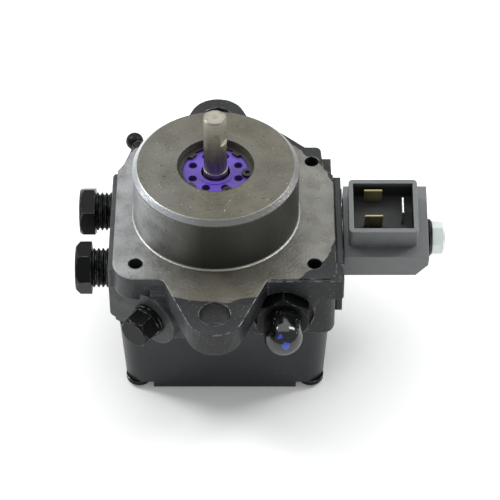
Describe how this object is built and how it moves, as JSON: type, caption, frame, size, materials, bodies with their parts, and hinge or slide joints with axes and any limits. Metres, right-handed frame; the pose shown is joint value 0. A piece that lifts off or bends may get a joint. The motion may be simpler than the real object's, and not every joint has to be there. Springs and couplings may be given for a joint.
{
  "type": "oil burner fuel pump",
  "caption": "Flange-mounted oil burner fuel pump: internal gear set, pilot hub, pressure regulator, strainer cover and solenoid shut-off valve.",
  "frame": {"origin": "on the shaft axis, in the plane of the mounting face", "axes": "+Z out along the shaft, +X to the solenoid valve, -X to the inlet ports, -Y to the pressure regulator"},
  "size_m": [0.1284, 0.1176, 0.1017],
  "materials": {
    "cast_iron": "turned face and hub bare, rest painted black",
    "black_paint": "satin black paint",
    "black_oxide": "black oxide",
    "gloss_black": "gloss black",
    "gasket_fibre": "pressed fibre",
    "machined_steel": "turned and ground",
    "spring_steel": "spring temper",
    "bronze": "sintered",
    "brass": "bright",
    "tinned": "tinned",
    "rubber": "moulded",
    "purple_moulding": "moulded",
    "grey_moulding": "moulded, slightly worn edges",
    "pale_moulding": "moulded",
    "copper": "enamelled wire",
    "zinc_plate": "zinc plated"
  },
  "bodies": {
    "housing": {"pump_body": "cast_iron", "side_gasket": "gasket_fibre", "side_plate": "black_paint", "side_plate_screws": "black_paint", "nozzle_plug": "black_oxide", "cover_gasket": "gasket_fibre", "rear_cover": "black_paint", "cover_bolts": "black_oxide", "strainer_screen": "spring_steel", "strainer_cap": "zinc_plate", "gear_plate": "machined_steel", "gear_plate_screws": "machined_steel", "front_bushing": "bronze", "rear_bushing": "bronze", "seal_case": "machined_steel", "seal_lip": "rubber", "seal_spring": "spring_steel", "seal_diaphragm": "rubber", "seal_retainer": "purple_moulding", "retaining_ring": "spring_steel", "inlet_plug_front": "black_oxide", "inlet_plug_back": "black_oxide", "bypass_plug": "black_oxide", "gauge_plug_washer": "black_oxide", "gauge_plug": "black_oxide", "regulator_plug": "black_oxide", "regulator_spring": "spring_steel", "cap_nut": "gloss_black", "stem_tube": "machined_steel", "valve_seat": "brass", "plunger_spring": "spring_steel", "coil_bobbin": "pale_moulding", "coil_winding": "copper", "coil_housing": "grey_moulding", "line_terminals": "brass", "earth_terminal": "tinned", "coil_washer": "black_oxide", "coil_nut": "zinc_plate"},
    "rotor": {"drive_shaft": "machined_steel", "shaft_key": "machined_steel", "pinion_gear": "machined_steel"},
    "ring": {"ring_gear": "machined_steel"},
    "piston": {"regulator_piston": "machined_steel"},
    "adjuster": {"adjusting_screw": "machined_steel", "spring_seat": "machined_steel"},
    "armature": {"plunger": "machined_steel", "plunger_seal": "rubber"},
    "bleeder": {"bleed_valve": "black_oxide"}
  },
  "joints": [
    {"name": "shaft_spin", "type": "hinge", "parent": "housing", "child": "rotor", "pos_m": [0, 0, 0], "axis": [0, 0, 1], "continuous": true},
    {"name": "ring_spin", "type": "hinge", "parent": "housing", "child": "ring", "pos_m": [-0.003, 0, 0], "axis": [0, 0, 1], "continuous": true},
    {"name": "piston_slide", "type": "slide", "parent": "housing", "child": "piston", "axis": [0, -1, 0], "range_m": [0, 0.003], "stiffness_N_per_m": 400, "springref_m": -0.004, "deforming": ["regulator_spring"]},
    {"name": "adjuster_slide", "type": "slide", "parent": "housing", "child": "adjuster", "axis": [0, 1, 0], "range_m": [-0.0015, 0.0015], "deforming": ["regulator_spring"]},
    {"name": "plunger_slide", "type": "slide", "parent": "housing", "child": "armature", "axis": [1, 0, 0], "range_m": [0, 0.0015], "stiffness_N_per_m": 300, "springref_m": -0.003, "deforming": ["plunger_spring"]},
    {"name": "bleed_turn", "type": "hinge", "parent": "housing", "child": "bleeder", "pos_m": [-0.0306, 0.052, -0.0146], "axis": [-0.4061, 0.9138, 0], "range_deg": [0, 270]}
  ],
  "couplings": [
    {"joint": "ring_spin", "follows": "shaft_spin", "ratio": 0.69231}
  ]
}
